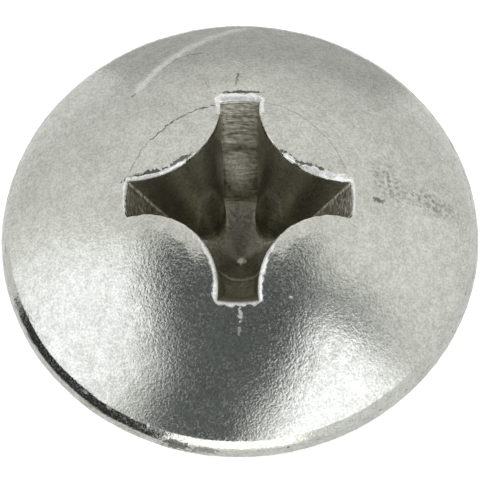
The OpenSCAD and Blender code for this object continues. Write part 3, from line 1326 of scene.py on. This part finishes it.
@dataclass
class Screw:
    """The whole screw: the head with its recess, and the shank.

    Attributes:
        head: The head's sizes.
        shank: The shank's sizes.
    """

    head: Head
    shank: Shank

    def materials(self) -> list[bpy.types.Material]:
        """Builds the finishes.

        Returns:
            One material for each Surface, in its order.
        """
        dome = Steel("dome_steel")
        edge = Steel("edge_steel", peel=0.06, peel_h=0.006)
        recess = Steel("recess_steel", colour=(0.58, 0.56, 0.465), stain=(0.27, 0.25, 0.19),
                       stain_share=0.75, roughness=0.34, swing=0.12, grain_h=0.002, peel_h=0.004,
                       ridge_h=0.06, bare_and_highlight_colour=(0.98, 0.97, 0.88), bare_and_highlight_rough=0.56)
        rim = Steel("rim_steel", roughness=0.15, swing=0.15, peel=0.08, peel_h=0.0055,
                    grain_h=0.003)
        shank = Steel("thread_steel", roughness=0.22, grain_h=0.002, peel_h=0.002)
        marks = {dome.name: DOME_MARKS, recess.name: RECESS_MARKS, rim.name: RIM_MARKS}
        return [SteelMaterial(steel).build(marks.get(steel.name, ()))
                for steel in (dome, edge, recess, rim, shank)]

    def skin(self) -> Skin:
        """Lays all the rings from the recess's lowest point to the flat end's middle.

        Returns:
            The whole skin of the screw.
        """
        head, shank, skin = self.head, self.shank, Skin()
        angles, recess = head.column_angles, head.recess
        edge_rows = 5
        inside, bare = recess.rings(edge_rows)
        inner = skin.add_points(inside, bare)
        lowest = np.array([0, 0, recess.tip_z])
        skin.add_cap(inner[0], lowest, Surface.RECESS, above=True)
        skin.add_band(inner[:-edge_rows], Surface.RECESS)
        skin.add_band(inner[-edge_rows - 1 :], Surface.EDGE)
        dome = skin.add_points(*head.dome_rings(inside[-1]))
        skin.add_band(np.concatenate([inner[-1:], dome]), Surface.DOME)
        rim = skin.add_points(head.carried(head.rim_section(), angles, head.rough))
        skin.add_band(np.concatenate([dome[-1:], rim]), Surface.RIM)
        under = head.carried(head.under_section(), angles, 0.0)
        first = skin.add_points(under[:1])
        skin.add_band(np.concatenate([rim[-1:], first]), Surface.RIM)
        even = angles[::2]
        lower = skin.add_points(under[1:, ::2])
        skin.add_halving(first[0], lower[0], Surface.SHANK)
        rows = shank.thread_rows(even)
        thread = skin.add_points(rows)
        skin.add_band(np.concatenate([lower, thread[:1]]), Surface.SHANK)
        skin.add_band(thread, Surface.SHANK, shift=len(shank.phases))
        end = skin.add_points(head.carried(shank.end_section(), even, 0.0))
        skin.add_band(np.concatenate([thread[-1:], end]), Surface.SHANK)
        pole = np.array([0, 0, -shank.length])
        skin.add_cap(end[-1], pole, Surface.SHANK, above=False)
        return skin

    def build(self) -> bpy.types.Object:
        """Makes the piece, dresses it and puts it in the CAD node's place.

        Returns:
            The piece.
        """
        piece = bpy.data.objects.new("screw_skin", self.skin().mesh("screw_skin"))
        bpy.context.scene.collection.objects.link(piece)
        for material in self.materials():
            piece.data.materials.append(material)
        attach(piece, "root")
        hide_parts("screw")
        return piece


@dataclass(frozen=True)
class Zone:
    """A soft-edged stretch of the room, as the metal mirrors it, with angles in degrees.

    Attributes:
        azimuth: Direction of its middle from the front, positive to the right.
        elevation: Height of its middle above the horizon.
        half_width: Half its width, to the middle of its soft edge.
        half_height: Half its height, to the middle of its soft edge.
        soft_width: Half the width of its upright edges.
        soft_height: Half the height of its level edges.
        level: How bright it is, where 1 is white.
    """

    azimuth: float
    elevation: float
    half_width: float
    half_height: float
    soft_width: float
    soft_height: float
    level: float


@dataclass(frozen=True)
class Card:
    """A low curved card that stands round the screw and shows only in the metal.

    Attributes:
        name: The card's name.
        start: Direction of one end from the front, positive to the right, in degrees.
        end: Direction of the other end.
        radius: Distance from the screw's axis, in millimetres.
        top: Height of its upper edge, in millimetres.
        level: How bright it is, where 1 is white.
    """

    name: str
    start: float
    end: float
    radius: float
    top: float
    level: float

    def build(self, floor_z: float) -> bpy.types.Object:
        """Makes the card, which stands on the floor.

        Args:
            floor_z: Height of the floor, in metres.

        Returns:
            The card.
        """
        steps = 24
        azimuth = np.radians(np.linspace(self.start, self.end, steps))
        x, y = np.sin(azimuth) * self.radius * MM, -np.cos(azimuth) * self.radius * MM
        foot = np.stack([x, y, np.full(steps, floor_z)], axis=-1)
        head = np.stack([x, y, np.full(steps, self.top * MM)], axis=-1)
        mesh = bpy.data.meshes.new(self.name)
        faces = [(i, i + 1, steps + i + 1, steps + i) for i in range(steps - 1)]
        mesh.from_pydata(np.concatenate([foot, head]).tolist(), [], faces)
        card = bpy.data.objects.new(self.name, mesh)
        bpy.context.scene.collection.objects.link(card)
        card.visible_camera = card.visible_diffuse = card.visible_shadow = False
        material = bpy.data.materials.new(self.name)
        material.use_nodes = True
        n = Nodes(material.node_tree)
        glow = n.add("Emission", {"Color": (1.0, 1.0, 1.0, 1.0), "Strength": self.level})
        n.add("OutputMaterial", {"Surface": glow.outputs[0]})
        mesh.materials.append(material)
        return card


@dataclass(frozen=True)
class Ceiling:
    """A dark level panel over the screw, at a height of 1.

    Attributes:
        left: Where it ends on the left, as a place along X.
        right: Where it ends on the right.
        rear: Where it ends at the rear, as a place along Y.
        slant: How far that end moves along Y for each step away from the middle.
        soft: Half the width of its soft edges.
        level: How bright it is, where 1 is white.
    """

    left: float
    right: float
    rear: float
    slant: float
    soft: float
    level: float


# The panel and the stretches are laid one over the other, in this order
CEILING = Ceiling(left=-0.595, right=0.43, rear=0.02, slant=0.5, soft=0.065, level=0.13)
ROOM = (
    Zone(azimuth=180, elevation=12, half_width=45, half_height=10, soft_width=20, soft_height=10,
         level=0.85),
    Zone(azimuth=-22, elevation=44, half_width=46, half_height=30, soft_width=10, soft_height=8,
         level=0.15),
    Zone(azimuth=-76.5, elevation=27.5, half_width=31.5, half_height=29.5, soft_width=15,
         soft_height=6, level=1.68),
    Zone(azimuth=31.5, elevation=24, half_width=26.5, half_height=15, soft_width=8, soft_height=8,
         level=1.93),
    Zone(azimuth=40, elevation=41, half_width=18.5, half_height=8, soft_width=6, soft_height=5,
         level=2.0),
    Zone(azimuth=50, elevation=49.5, half_width=11, half_height=7, soft_width=7, soft_height=4,
         level=1.85),
    Zone(azimuth=70, elevation=40, half_width=5, half_height=10, soft_width=4, soft_height=6,
         level=0.6),
    Zone(azimuth=98, elevation=33, half_width=20, half_height=24, soft_width=8, soft_height=8,
         level=1.1),
    Zone(azimuth=71, elevation=58, half_width=10, half_height=13, soft_width=7, soft_height=11,
         level=0.25),
    Zone(azimuth=-42, elevation=61, half_width=18, half_height=10, soft_width=8, soft_height=5,
         level=0.16),
)
CARDS = (
    Card("dark_card", start=-89, end=-26, radius=14, top=1.8, level=0.03),
    Card("white_card", start=-25, end=19, radius=34, top=7.0, level=2.4),
    Card("grey_card", start=144, end=206, radius=14, top=2.5, level=0.62),
)


@dataclass
class Studio:
    """Floor, cards, room and camera, none of which belongs to the screw.

    Attributes:
        floor_z: Height of the floor, in metres.
        focal: Focal length over a 36 mm sensor, in millimetres.
        camera_elevation: Angle of the camera above the level, in degrees.
        camera_distance: Its distance from the place it looks at, in millimetres.
        look_at: The middle of the picture at the screw, in millimetres.
        roll: Turn of the camera round its own axis, in degrees.
    """

    floor_z: float
    focal: float = 297.9
    camera_elevation: float = 63.92
    camera_distance: float = 80.0
    look_at: tuple[float, float, float] = (0.0008, -0.3909, 0.8087)
    roll: float = -1.426

    def camera(self) -> None:
        """Sets the camera up on a line that rises from the front, rolled a little."""
        e, r = math.radians(self.camera_elevation), math.radians(self.roll)
        away = Vector((0.0, -math.cos(e), math.sin(e)))
        right = Vector((1.0, 0.0, 0.0))
        up = away.cross(right)
        across = math.cos(r) * right + math.sin(r) * up
        upward = -math.sin(r) * right + math.cos(r) * up
        data = bpy.data.cameras.new("camera")
        data.lens, data.sensor_width = self.focal, 36.0
        data.clip_start, data.clip_end = 0.005, 10.0
        camera = bpy.data.objects.new("camera", data)
        place = (Vector(self.look_at) + away * self.camera_distance) * MM
        turn = Matrix((across, upward, away)).transposed().to_4x4()
        camera.matrix_world = Matrix.Translation(place) @ turn
        bpy.context.scene.collection.objects.link(camera)
        bpy.context.scene.camera = camera

    def floor(self) -> None:
        """Lays a wide pale floor whose paper white shows to the eye and in the metal."""
        half = 2.0
        corners = [(-half, -half), (half, -half), (half, half), (-half, half)]
        mesh = bpy.data.meshes.new("floor")
        mesh.from_pydata([(x, y, self.floor_z) for x, y in corners], [], [(0, 1, 2, 3)])
        floor = bpy.data.objects.new("floor", mesh)
        bpy.context.scene.collection.objects.link(floor)
        material = bpy.data.materials.new("floor_paper")
        material.use_nodes = True
        n = Nodes(material.node_tree)
        path = n.add("LightPath").outputs
        mirrored = n.math("MAXIMUM", path["Is Glossy Ray"], path["Is Transmission Ray"])
        glow = n.math("MAXIMUM", n.math("MULTIPLY", path["Is Camera Ray"], 0.5),
                      n.math("MULTIPLY", mirrored, 0.25))
        shader = n.add("BsdfPrincipled", {
            "Base Color": (0.82, 0.82, 0.81, 1.0),
            "Roughness": 0.9,
            "Emission Color": (1.0, 1.0, 1.0, 1.0),
            "Emission Strength": glow,
        })
        n.add("OutputMaterial", {"Surface": shader.outputs[0]})
        mesh.materials.append(material)

    def room(self) -> None:
        """Makes a pale room with a dark ceiling and soft bright and dark stretches.

        The walls ease from a duller horizon to a brighter upper part. The
        ceiling's level takes over where a direction, followed up to a height of
        1, meets the panel. Then each stretch's level takes over, one after the
        other, where both its azimuth and its elevation lie within its soft
        edges. To the eye the room is plain white.
        """
        world = bpy.data.worlds.new("room")
        world.use_nodes = True
        bpy.context.scene.world = world
        n = Nodes(world.node_tree)
        direction = n.add("TexCoord").outputs["Generated"]
        part = n.add("SeparateXYZ", {0: direction}).outputs
        azimuth = n.math("DEGREES", n.math("ARCTAN2", part[0], n.math("MULTIPLY", part[1], -1.0)))
        elevation = n.math("DEGREES", n.math("ARCSINE", part[2]))
        level = n.math("MULTIPLY_ADD", n.ease(elevation, -5.0, 25.0), 0.16, 0.84)
        panel = CEILING
        up = n.math("MAXIMUM", part[2], 0.05)
        along, back = n.math("DIVIDE", part[0], up), n.math("DIVIDE", part[1], up)
        over = n.within(along, (panel.left + panel.right) / 2, (panel.right - panel.left) / 2,
                        panel.soft)
        aside = n.math("MULTIPLY", n.math("ABSOLUTE", along), panel.slant)
        behind = n.ease(n.math("SUBTRACT", back, aside), panel.rear + panel.soft,
                        panel.rear - panel.soft)
        over = n.math("MULTIPLY", n.math("MULTIPLY", over, behind), n.ease(elevation, 20.0, 40.0))
        level = n.blend(over, level, panel.level)
        for zone in ROOM:
            across = n.within(azimuth, zone.azimuth, zone.half_width, zone.soft_width)
            upright = n.within(elevation, zone.elevation, zone.half_height, zone.soft_height)
            level = n.blend(n.math("MULTIPLY", across, upright), level, zone.level)
        tint = n.mix(n.ease(level, 0.15, 0.8), (0.9, 1.0, 1.02, 1.0), (1.0, 1.0, 1.0, 1.0))
        tint = n.mix(n.ease(level, 1.1, 1.6), tint, (0.98, 1.0, 1.05, 1.0))
        level = n.math("MAXIMUM", level, n.add("LightPath").outputs["Is Camera Ray"])
        background = n.add("Background", {"Color": tint, "Strength": level})
        n.add("OutputWorld", {"Surface": background.outputs[0]})

    def build(self) -> None:
        """Makes the camera, the floor, the cards and the room."""
        self.camera()
        self.floor()
        for card in CARDS:
            card.build(self.floor_z)
        self.room()
        bpy.context.scene.view_settings.view_transform = "Standard"


def main() -> None:
    """Builds the studio and the screw, and logs the piece's number of faces."""
    logging.basicConfig(level=logging.INFO, format="%(message)s")
    low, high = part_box("screw")
    neck = next(m for m in frame["record"]["mounts"] if m["name"] == "neck")
    neck_r = neck["dims"]["r_mm"]
    Studio(floor_z=low[2]).build()
    head = Head(radius=(high[0] - low[0]) / 2 / MM, neck_r=neck_r)
    screw = Screw(head, Shank(length=-low[2] / MM, neck_r=neck_r))
    piece = screw.build()
    LOG.info("%s: %d faces", piece.name, len(piece.data.polygons))


if __name__ == "__main__":
    main()
